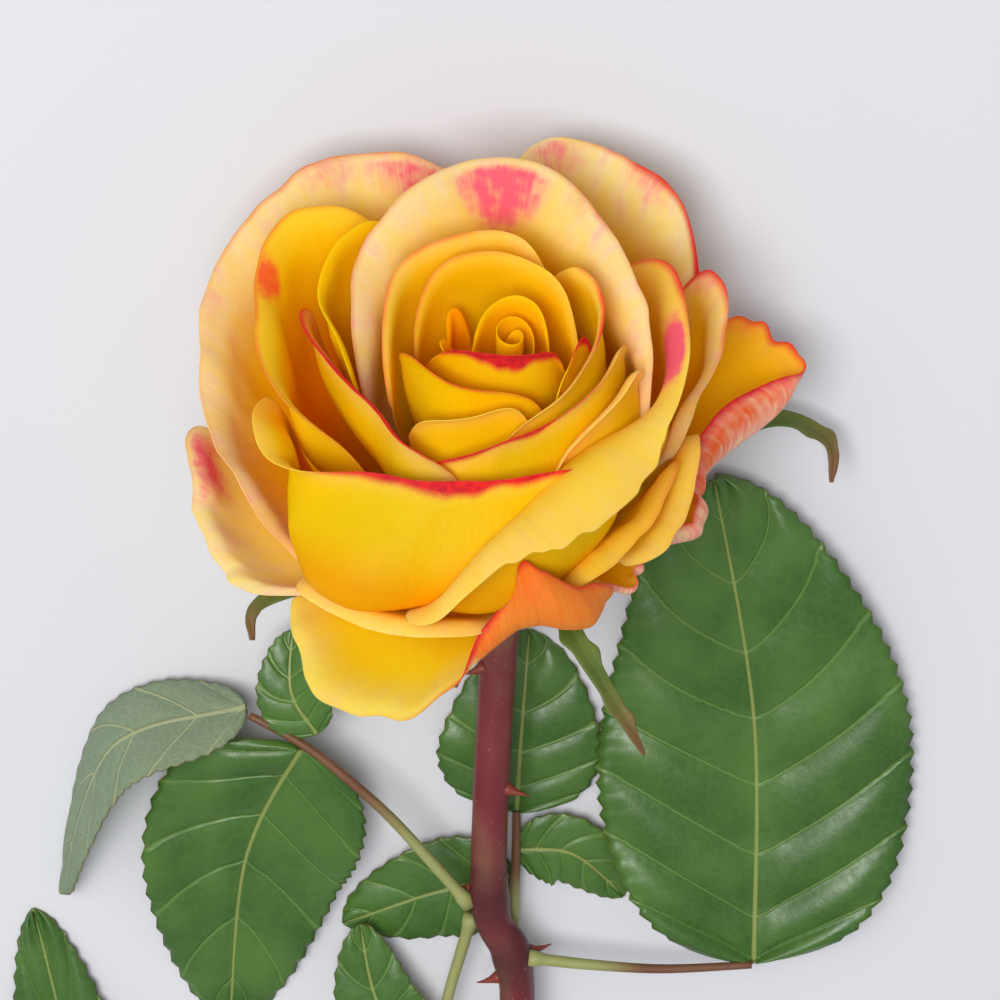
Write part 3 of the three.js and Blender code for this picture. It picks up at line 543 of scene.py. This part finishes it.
def stalk_finish(name):
    f = Finish(name)
    place = f.coordinates()
    mottle = f.noise(place, 150, 3)
    skin = f.mix(f.read("brown"), f.mix(mottle, *STALK_GREENS), f.mix(mottle, *STALK_BROWNS))
    f.set(Base_Color=skin, Roughness=0.5, Specular_IOR_Level=0.4)
    f.bump(f.noise(place, 1300), strength=0.3, depth=0.0002)
    return f.material


petal_face = petal_finish("petal face", reverse=False)
petal_reverse = petal_finish("petal reverse", reverse=True)
leaf_top = leaf_finish("leaf top", underside=False)
leaf_under = leaf_finish("leaf underside", underside=True)
calyx_skin = calyx_finish("sepal and hip skin")
stem_skin = stem_finish("stem skin")
stalk_skin = stalk_finish("leaf stalk skin")


# ---- mesh building ----
def add_object(name, data):
    made = bpy.data.objects.new(name, data)
    bpy.context.scene.collection.objects.link(made)
    return made


def new_mesh(name, bm, materials):
    mesh = bpy.data.meshes.new(name)
    bm.to_mesh(mesh)
    bm.free()
    for material in materials:
        mesh.materials.append(material)
    return mesh


def make_piece(name, bm, place, materials, looks):
    """Turns a bmesh in millimetres into a smooth piece that rides on the root and replaces its node.

    looks has each vertex's values for the finish to read.
    """
    bmesh.ops.transform(bm, matrix=place, verts=bm.verts)
    for vertex in bm.verts:
        vertex.co.z = max(vertex.co.z, TABLE_ROOM)
    mesh = new_mesh(name, bm, materials)
    for key in looks[0]:
        layer = mesh.attributes.new(key, "FLOAT", "POINT")
        layer.data.foreach_set("value", [look[key] for look in looks])
    mesh.shade_smooth()
    piece = add_object(name + "_look", mesh)
    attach(piece, "root")
    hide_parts(name)
    return piece


def round_off(piece):
    rounding = piece.modifiers.new("rounding", "SUBSURF")
    rounding.levels = rounding.render_levels = 1


def thicken(piece, thickness):
    wall = piece.modifiers.new("thickness", "SOLIDIFY")
    wall.thickness = thickness * MM
    wall.offset = 0
    wall.material_offset = 1
    wall.use_even_offset = False


def sheet_grid(columns, rows):
    """A flat grid and, for each of its vertices, the column and the row that it stands in."""
    bm = bmesh.new()
    bmesh.ops.create_grid(bm, x_segments=columns, y_segments=rows, size=1.0)
    places = [(round((v.co.x + 1) / 2 * columns), round((v.co.y + 1) / 2 * rows)) for v in bm.verts]
    return bm, places


def write_uv(bm, places, coordinates):
    bm.verts.index_update()
    layer = bm.loops.layers.uv.new("surface")
    for face in bm.faces:
        for loop in face.loops:
            loop[layer].uv = coordinates[places[loop.vert.index]]


def tube(bm, centres, radii, sides):
    """Extrudes a ring along the centres, each ring square to the way it goes, and closes both ends."""
    side = Vector((1, 0, 0))
    for i, (centre, radius) in enumerate(zip(centres, radii)):
        forward = (centres[min(i + 1, len(centres) - 1)] - centres[max(i - 1, 0)]).normalized()
        side = (side - forward * side.dot(forward)).normalized()
        ring = Matrix((side, forward.cross(side), forward)).transposed().to_4x4()
        ring = Matrix.Translation(centre) @ ring @ Matrix.Scale(radius, 4)
        if i == 0:
            made = bmesh.ops.create_circle(bm, cap_ends=True, segments=sides, radius=1.0, matrix=ring)
            verts = made["verts"]
            edges = list(dict.fromkeys(edge for v in verts for edge in v.link_edges))
        else:
            made = bmesh.ops.extrude_edge_only(bm, edges=edges)["geom"]
            verts = {part for part in made if isinstance(part, bmesh.types.BMVert)}
            edges = [part for part in made
                     if isinstance(part, bmesh.types.BMEdge) and set(part.verts) <= verts]
            bmesh.ops.transform(bm, matrix=ring @ previous.inverted(), verts=list(verts))
        previous = ring
    bmesh.ops.contextual_create(bm, geom=edges)


def route_centres(route, steps):
    """Points along a route, its root pushed back by JOINT_DEPTH, and how far along it each one is."""
    centres = [along_curve(route, k / steps) for k in range(steps + 1)]
    centres[0] += (centres[0] - centres[1]).normalized() * JOINT_DEPTH
    return centres, distances_along(centres)


# ---- petals ----
LONG_WAVE, SHORT_WAVE = 13, 4.5  # lengths of the ripples along a margin
COLUMN_WIDTH = 1.4
LEAST_COLUMNS, MOST_COLUMNS = 16, 72
PETAL_ROWS, HEART_ROWS = 30, 22
ROW_CROWDING = 1.3  # above 1, rows get closer towards the edge
LEAST_ROLL, LEAST_TURN = 0.5, 2  # a smaller roll is left out
CURL_START, CURL_END = 70, 120  # a roll that turns further than this is drawn back
ROLL_BLEND = 3.2  # how many widths in from a roll the petal makes room
TEAR_REACH, RIPPLE_REACH = 9, 16  # how far in from the edge they are felt
SWELL, SWELL_SCALE = 0.35, 0.09  # soft unevenness of the whole sheet
ORANGE_START, ORANGE_END = 8, 34  # distances from the edge between which the orange (own colour plus painted shade) deepens
UV_CM = 0.1  # the UVs are in centimetres


def foot_height(layer):
    return (FOOT_STEP if layer < OUTER_LAYER else GUARD_FOOT_STEP) * (OUTER_LAYER - layer)


def cup_radius(layer, azimuth, height):
    foot = lerp(CORE_BASE, CUP_BASE, layer) if layer < 1 else CUP_BASE + CUP_BASE_STEP * (layer - 1)
    swell = CUP_BELLY * (1 - exp(-height / CUP_RISE))
    lean_rise = lerp(FRONT_LEAN_RISE, BACK_LEAN_RISE, (1 + sin(radians(azimuth))) / 2)
    leaned = through(LEAN, azimuth % 360) * (1 - exp(-((height / lean_rise) ** 3)))
    return foot + layer * (swell + leaned)


def layer_at(azimuth, radius, height):
    """The layer whose cup passes through a place, found by halving."""
    low, high = 0.0, LAYER_LIMIT
    for _ in range(30):
        middle = (low + high) / 2
        if cup_radius(middle, azimuth, max(0.0, height - foot_height(middle))) < radius:
            low = middle
        else:
            high = middle
    return low


class Petal:
    """One petal's surface: across goes from 0 to 1 along its margin, up from 0 at its claw to 1."""

    def __init__(self, seed, **look):
        self.seed = seed
        for key, value in {**PLAIN_PETAL, **look}.items():
            setattr(self, key, value)
        self.first, self.last = self.margin[0][0], self.margin[-1][0]
        steps = ceil(self.last - self.first)
        azimuths = [self.azimuth(i / steps) for i in range(steps + 1)]
        self.layers = [layer_at(a, through(self.margin, a), through(self.margin, a, 2)) for a in azimuths]

    def azimuth(self, across):
        return lerp(self.first, self.last, across)

    def layer(self, azimuth):
        place = clamp((azimuth - self.first) / (self.last - self.first)) * (len(self.layers) - 1)
        i = min(int(place), len(self.layers) - 2)
        return lerp(self.layers[i], self.layers[i + 1], place - i)

    def waves(self, across):
        """Uneven ripples along the margin, in millimetres."""
        arc = radians(self.last - self.first) * self.margin[len(self.margin) // 2][1]
        slow = ripple_at(across * arc / LONG_WAVE, self.seed, 0)
        fast = ripple_at(across * arc / SHORT_WAVE, self.seed, 5)
        return self.ruffle * (2.0 * slow + 0.8 * fast)

    def point(self, across, up):
        side = 2 * across - 1
        spread = CLAW + (1 - CLAW) * sin(pi / 2 * min(1.0, 1.25 * up))
        azimuth = self.azimuth(0.5) + side * (self.last - self.first) / 2 * spread
        layer = self.layer(azimuth)
        foot = foot_height(layer)
        top = through(self.margin, self.azimuth(across), 2) - foot + self.waves(across)
        height = FOOT_CLEARANCE + (top - FOOT_CLEARANCE) * (1 - self.corner * abs(side) ** 5) * up ** 1.7
        belly = through(self.bulge, azimuth) * sin(pi * clamp(height / top) ** 0.75)
        return cylindrical(azimuth, cup_radius(layer, azimuth, height) + belly, height + foot)


def roll_edge(rib, distances, outward, width, turn, hold, lift):
    """Bends the last stretch of a rib round a cylinder and moves the rib's upper part to make room.

    With a hold of 1 the edge stays where the plain edge was; with 0 the crest of the roll does.
    """
    if width < LEAST_ROLL or abs(turn) < LEAST_TURN:
        return rib
    width = min(width, distances[2])
    bend = next(j for j, distance in enumerate(distances) if distance < width)
    share = (distances[bend - 1] - width) / (distances[bend - 1] - distances[bend])
    start = rib[bend - 1].lerp(rib[bend], share)
    forward = (rib[bend] - rib[bend - 1]).normalized()
    away = (outward[bend] - forward * outward[bend].dot(forward)).normalized() * (1 if turn > 0 else -1)
    angle = radians(abs(turn))
    radius = width / angle

    def bent(a):
        return start + forward * radius * sin(a) + away * radius * (1 - cos(a))

    crest_shift = forward * (width - radius * sin(min(angle, pi / 2)))
    crest_shift -= away * radius * 0.5 * smooth(turn, CURL_START, CURL_END)
    shift = crest_shift.lerp(rib[-1] - bent(angle), hold) + Vector((0, 0, lift))
    rolled = [bent((width - distances[j]) / radius) if j >= bend else point for j, point in enumerate(rib)]
    return [point + shift * smooth(distance, width * ROLL_BLEND + 4, width * 0.9)
            for point, distance in zip(rolled, distances)]


def shape_rib(petal, ribs, i, columns, rows):
    """Tears, ripples and rolls one rib. Returns it and its points' distances from the plain edge."""
    rib = ribs[i]
    across = i / columns
    azimuth = petal.azimuth(across)
    plain = list(rib)
    climbed = distances_along(plain)
    distances = [climbed[-1] - gone for gone in climbed]
    beside, before = ribs[min(i + 1, columns)], ribs[max(i - 1, 0)]
    outward = [(beside[j] - before[j]).cross(plain[min(j + 1, rows)] - plain[max(j - 1, 0)]).normalized()
               for j in range(rows + 1)]
    torn = sum(depth * hump(azimuth - centre, spread) for centre, spread, depth in petal.notches)
    for j, distance in enumerate(distances):
        upwards = (plain[j] - plain[max(j - 1, 0)]).normalized()
        point = plain[j] - upwards * torn * smooth(distance, TEAR_REACH, 0)
        swell = SWELL * noise.noise(point * SWELL_SCALE + Vector((0, 0, petal.seed)))
        ripple = petal.waves(across * 1.7 + 3) * smooth(distance, RIPPLE_REACH, 2) * 0.8
        rib[j] = point + outward[j] * (swell * smooth(j / rows, 0.1, 0.5) + ripple)
    if petal.roll:
        end = abs(2 * across - 1) ** 6
        width = through(petal.roll, azimuth) * (1 - 0.6 * end) * (1 + 0.15 * petal.waves(across * 0.7 + 9))
        turn = through(petal.roll, azimuth, 2) * (1 - 0.3 * end)
        hold, lift = through(petal.hold, azimuth), through(petal.lift, azimuth)
        rib = roll_edge(rib, distances, outward, width, turn, hold, lift)
    return rib, distances


def petal_bmesh(petal, columns, rows):
    """The petal's sheet, with its UVs and its per-vertex values."""
    ups = [1 - (1 - j / rows) ** ROW_CROWDING for j in range(rows + 1)]
    ribs = [[petal.point(i / columns, up) for up in ups] for i in range(columns + 1)]
    shaped = [shape_rib(petal, ribs, i, columns, rows) for i in range(columns + 1)]
    arc = sum((b[-1] - a[-1]).length for a, b in zip(ribs, ribs[1:]))
    bm, places = sheet_grid(columns, rows)
    looks, uv = [], {}
    for vertex, (i, j) in zip(bm.verts, places):
        rib, distances = shaped[i]
        vertex.co = rib[j]
        from_edge = distances[j]
        across = i / columns
        azimuth = petal.azimuth(across)
        side_room = arc * min(across, 1 - across) + 6 * (1 - ups[j])
        rim = min(from_edge, side_room + 0.4)
        blush = 0.0
        for centre, spread, depth, strength in petal.blush:
            reach = hump(azimuth - centre, spread)
            band = smooth(from_edge, depth * (0.5 + 0.6 * reach), depth * 0.3)
            band *= smooth(from_edge, 0, depth * 0.12)
            blush = max(blush, strength * reach * band)
        # orange deepening away from the edge, with a floor for petals in the heart: partly own colour, partly
        # painted shade of the depths
        orange = petal.deep * smooth(from_edge, ORANGE_START, ORANGE_END) * (0.4 + 0.6 * petal.gold)
        strength, start, stop = petal.back_red
        looks.append(dict(
            rim=rim, red=max(0.0, through(petal.red, azimuth)) if petal.red else 0.0, blush=blush,
            pale=petal.pale[0] * smooth(rim, petal.pale[1] * 1.2, 0), gold=petal.gold,
            deep=max(petal.warm, orange), back=petal.back,
            back_red=strength if start <= azimuth <= stop else 0.0))
        uv[(i, j)] = (across * arc * UV_CM, (distances[0] - from_edge) * UV_CM)
    write_uv(bm, places, uv)
    return bm, looks


def make_petals():
    for seed, (name, look) in enumerate(PETALS.items()):
        petal = Petal(seed * 7.3, **look)
        arc = radians(petal.last - petal.first) * max(row[1] for row in petal.margin)
        columns = int(clamp(arc / COLUMN_WIDTH, LEAST_COLUMNS, MOST_COLUMNS))
        bm, looks = petal_bmesh(petal, columns, PETAL_ROWS if name.startswith("petal_") else HEART_ROWS)
        piece = make_piece(name, bm, BLOOM, [petal_reverse, petal_face], looks)
        thicken(piece, PETAL_THICKNESS)
        round_off(piece)


# ---- blades: leaflets and sepals ----
BLADE_COLUMNS = 30
TOOTH_LENGTH, LEAST_TEETH = 3.3, 12
TOOTH_SHAPE = (0.0, 0.30, 0.6, 0.9, 0.45)
VEIN_PITCH, LEAST_VEINS = 13, 5
SEPAL_COLUMNS, SEPAL_ROWS = 10, 80


def leaf_half_width(width, along):
    return 0.3 + width / 2 * sin(pi * clamp(along) ** 0.8) ** 0.75 * (1 - 0.12 * along)


def leaf_bmesh(seed, rib, width, fold, face=(0, 0, 1), underside_up=False):
    """A toothed, veined leaflet about its midrib, its per-vertex values and its two finishes."""
    rib = [Vector(point) for point in rib]
    rib[0] += (rib[0] - rib[1]).normalized() * LEAFLET_ROOT
    length = distances_along([along_curve(rib, k / 20) for k in range(21)])[-1]
    rows = max(LEAST_TEETH, round(length / TOOTH_LENGTH)) * len(TOOTH_SHAPE)
    pairs = max(LEAST_VEINS, round(length / VEIN_PITCH))
    tooth_size = 0.4 + width * 0.011
    up = Vector(face).normalized()
    bm, places = sheet_grid(BLADE_COLUMNS, rows)
    looks = []
    for vertex, (i, j) in zip(bm.verts, places):
        along = j / rows
        x = 2 * i / BLADE_COLUMNS - 1
        x = copysign(abs(x) ** 0.85, x)
        forward = curve_direction(rib, along)
        side = forward.cross(up).normalized()
        normal = side.cross(forward)
        half = leaf_half_width(width, along) * (1 + 0.05 * ripple_at(along * 3, seed, x * 0.4))
        tooth = tooth_size * TOOTH_SHAPE[j % len(TOOTH_SHAPE)]
        tooth *= smooth(along, 0.03, 0.12) * smooth(along, 1.0, 0.93)
        offset = x * half + copysign(tooth * abs(x) ** 8, x)
        phase = along * pairs - 1.25 * abs(x) ** 1.15 * pairs / 7
        pad = sin(pi * abs(phase - round(phase))) ** 0.7
        quilt = 0.028 * width * (pad - 0.6) * smooth(abs(x), 0.03, 0.25) * smooth(abs(x), 1.05, 0.75)
        groove = -0.012 * width * hump(x, 0.05)
        curl = 0.05 * width * abs(x) ** 3 * ripple_at(along * 4.5, seed + 3, copysign(2, x))
        swell = 0.02 * width * ripple_at(along * 3, x * 1.5, seed)
        height = fold * abs(offset) - 0.035 * width * x ** 4 + quilt + groove + curl + swell
        vertex.co = along_curve(rib, along) + side * offset + normal * height
        vertex.co.z = max(vertex.co.z, LEAF_THICKNESS)
        looks.append(dict(rim=(1 - abs(x)) * half, mid=abs(offset) * (1 + along), phase=phase + 20.5,
                          pitch=length / pairs * (1.1 - 0.4 * abs(x))))
    return bm, looks, [leaf_under, leaf_top] if underside_up else [leaf_top, leaf_under]


def make_leaves():
    seed = 0
    for leaf_name, leaf in LEAVES.items():
        make_stalk(leaf_name, leaf["stalk"])
        for number, part in enumerate(leaf["leaflets"], 1):
            seed += 1
            bm, looks, sides = leaf_bmesh(seed * 3.7, **part)
            bm.normal_update()
            if sum(face.normal.z for face in bm.faces) < 0:
                bmesh.ops.reverse_faces(bm, faces=bm.faces)
            piece = make_piece(f"{leaf_name}_leaflet_{number}", bm, GROUND, sides, looks)
            thicken(piece, LEAF_THICKNESS)


def make_sepals():
    for seed, (name, sepal) in enumerate(SEPALS.items()):
        azimuth, radius, height = sepal["rib"][0]
        rib = [cylindrical(*point) for point in sepal["rib"]]
        rib[0] = cylindrical(azimuth, radius - SEPAL_ROOT, height)
        bm, places = sheet_grid(SEPAL_COLUMNS, SEPAL_ROWS)
        looks = []
        for vertex, (i, j) in zip(bm.verts, places):
            along = j / SEPAL_ROWS
            x = 2 * i / SEPAL_COLUMNS - 1
            forward = curve_direction(rib, along)
            side = forward.cross(Vector((0, 0, 1))).normalized()
            normal = side.cross(forward)
            half = 0.25 + sepal["width"] / 2 * (1 - along) ** 0.9 * (0.6 + 0.7 * along)
            lobe = max(0.0, sin(along * 26 + (2 if x > 0 else 0))) ** 3
            lobe *= smooth(along, 0.3, 0.45) * smooth(along, 1, 0.8)
            offset = x * half * (1 + 0.6 * sepal["lobes"] * lobe * abs(x) ** 3)
            ripple = 0.5 * ripple_at(along * 7, x, seed * 3)
            height = 0.22 * abs(offset) + ripple * abs(x)
            vertex.co = along_curve(rib, along) + side * offset + normal * height
            looks.append({"tip": smooth(along, 0.55, 1.0)})
        piece = make_piece(name, bm, BLOOM, [calyx_skin, calyx_skin], looks)
        thicken(piece, SEPAL_THICKNESS)
        round_off(piece)


# ---- hip, stem and stalks ----
STEM_RADIUS, STEM_FLARE, FLARE_STRETCH = 3.45, 0.25, (180, 300)
NODE_SHARES = 4 / 10, 5 / 10  # where the leaf nodes are along STEM_ROUTE
NODE_SWELLING, NODE_REACH, NODE_SHADE_REACH = 0.45, 4.5, 7
NECK_GREEN, LOWER_GREEN = (14, 0), (150, 300)  # between these distances the skin turns green
STEM_STEPS, STEM_SIDES = 150, 28
PRICKLE_LENGTH, PRICKLE_SIDES = 4.6, 10
PRICKLE_PROFILE = [(-0.12, 0.34), (0.1, 0.25), (0.35, 0.15), (0.65, 0.08), (1, 0.015)]  # along, radius
STALK_RADII = 1.25, 0.75
STALK_STEPS, STALK_SIDES = 36, 12


def make_hip():
    bm = bmesh.new()
    verts = [bm.verts.new((radius, 0, height)) for radius, height in HIP_PROFILE]
    edges = [bm.edges.new(pair) for pair in zip(verts, verts[1:])]
    bmesh.ops.spin(bm, geom=verts + edges, axis=(0, 0, 1), cent=(0, 0, 0), angle=tau, steps=40,
                   use_merge=True)
    bmesh.ops.remove_doubles(bm, verts=bm.verts, dist=0.001)
    bmesh.ops.recalc_face_normals(bm, faces=bm.faces)
    round_off(make_piece("hip", bm, BLOOM, [calyx_skin], [{"tip": 0.0}] * len(bm.verts)))


def add_prickle(bm, root, outward, size):
    """A broad-based prickle with a slightly hooked tip."""
    hook = Vector((0, 0.14, -0.05))
    centres = [root + outward * size * t + hook * size * t * t for t, _ in PRICKLE_PROFILE]
    tube(bm, centres, [size * r for _, r in PRICKLE_PROFILE], PRICKLE_SIDES)


def nearest_centre(centres, vertex, step=1):
    return min(range(0, len(centres), step), key=lambda k: (centres[k] - vertex.co).length_squared)


def make_stem():
    centres, distances = route_centres(STEM_ROUTE, STEM_STEPS)
    nodes = [distances[int(STEM_STEPS * share)] for share in NODE_SHARES]
    radii = [STEM_RADIUS + STEM_FLARE * smooth(d, *FLARE_STRETCH)
             + sum(NODE_SWELLING * hump(d - place, NODE_REACH) for place in nodes)
             + 0.12 * ripple_at(d * 0.1, 0, 0) for d in distances]
    bm = bmesh.new()
    tube(bm, centres, radii, STEM_SIDES)
    skin_count = len(bm.verts)
    for distance, turn in PRICKLES:
        k = next(i for i, d in enumerate(distances) if d >= distance)
        forward = (centres[min(k + 1, STEM_STEPS)] - centres[k - 1]).normalized()
        outward = Matrix.Rotation(radians(turn), 3, forward) @ Vector((1, 0, 0))
        outward = (outward - forward * (outward.dot(forward) - 0.25)).normalized()
        add_prickle(bm, centres[k] + outward * radii[k], outward, PRICKLE_LENGTH)
    bmesh.ops.recalc_face_normals(bm, faces=bm.faces)
    places = [distances[nearest_centre(centres, vertex, 2)] for vertex in bm.verts]
    make_piece("stem", bm, GROUND, [stem_skin], [
        dict(node=max(hump(d - place, NODE_SHADE_REACH) for place in nodes),
             green=max(0.8 * smooth(d, *NECK_GREEN), 0.55 * smooth(d, *LOWER_GREEN)),
             thorn=0.0 if index < skin_count else 1.0) for index, d in enumerate(places)])


def make_stalk(leaf_name, route):
    centres, _ = route_centres(route, STALK_STEPS)
    shares = [k / STALK_STEPS for k in range(len(centres))]
    radii = [lerp(*STALK_RADII, share) + 0.5 * smooth(share, 0.08, 0) for share in shares]
    bm = bmesh.new()
    tube(bm, centres, radii, STALK_SIDES)
    bmesh.ops.recalc_face_normals(bm, faces=bm.faces)
    looks = [{"brown": smooth(shares[nearest_centre(centres, vertex)], 0.3, 0.6)} for vertex in bm.verts]
    make_piece(leaf_name + "_stalk", bm, GROUND, [stalk_skin], looks)


# ---- floor, light and camera, in metres ----
FLOOR_HALF_WIDTH = 3.0
FLOOR_GREY = rgb(0.68, 0.69, 0.73)
SKY_TINT, SKY_STRENGTH = (0.95, 0.97, 1.0, 1), 0.42
WINDOW_TINT = (1.0, 0.99, 0.97)
WINDOWS = {  # from the receptacle, width of the light, watts
    "window": ((-0.7, 0.7, 1.3), 0.9, 4),
    "opposite window": ((-0.25, 0.35, 1.35), 0.8, 14.6),
}
CAMERA_FROM_AXIS = 38  # degrees between the bloom's axis and the line of sight
CAMERA_DISTANCE = 0.7
VIEW_WIDTH = 0.1786  # width of what the camera sees, at the receptacle's distance
SENSOR = 36.0  # millimetres
AIM_OFFSET = Vector((-0.00214, 0, 0))


def make_floor():
    bm = bmesh.new()
    bmesh.ops.create_grid(bm, x_segments=1, y_segments=1, size=FLOOR_HALF_WIDTH)
    f = Finish("pale floor")
    f.set(Base_Color=FLOOR_GREY, Roughness=0.9, Specular_IOR_Level=0.1)
    add_object("floor", new_mesh("floor", bm, [f.material]))


def make_light():
    world = bpy.data.worlds.new("soft daylight")
    world.use_nodes = True
    background = world.node_tree.nodes["Background"]
    background.inputs["Color"].default_value = SKY_TINT
    background.inputs["Strength"].default_value = SKY_STRENGTH
    bpy.context.scene.world = world
    for name, (offset, size, power) in WINDOWS.items():
        data = bpy.data.lights.new(name, "AREA")
        data.shape = "DISK"
        data.size = size
        data.energy = power
        data.color = WINDOW_TINT
        light = add_object(name, data)
        light.location = RECEPTACLE + Vector(offset)
        light.rotation_euler = (-Vector(offset)).to_track_quat("-Z", "Y").to_euler()


def make_camera():
    rise = tilt + radians(CAMERA_FROM_AXIS)
    back = Vector((0, cos(rise), sin(rise)))
    up = Vector((0, sin(rise), -cos(rise)))
    data = bpy.data.cameras.new("camera")
    data.sensor_width = SENSOR
    data.lens = SENSOR * CAMERA_DISTANCE / VIEW_WIDTH
    data.clip_start = 0.01
    camera = add_object("camera", data)
    turn = Matrix((Vector((1, 0, 0)), up, back)).transposed().to_4x4()
    camera.matrix_world = Matrix.Translation(RECEPTACLE + AIM_OFFSET + back * CAMERA_DISTANCE) @ turn
    bpy.context.scene.camera = camera


make_petals()
make_hip()
make_sepals()
make_stem()
make_leaves()
make_floor()
make_light()
make_camera()
bpy.context.scene.view_settings.view_transform = "Standard"
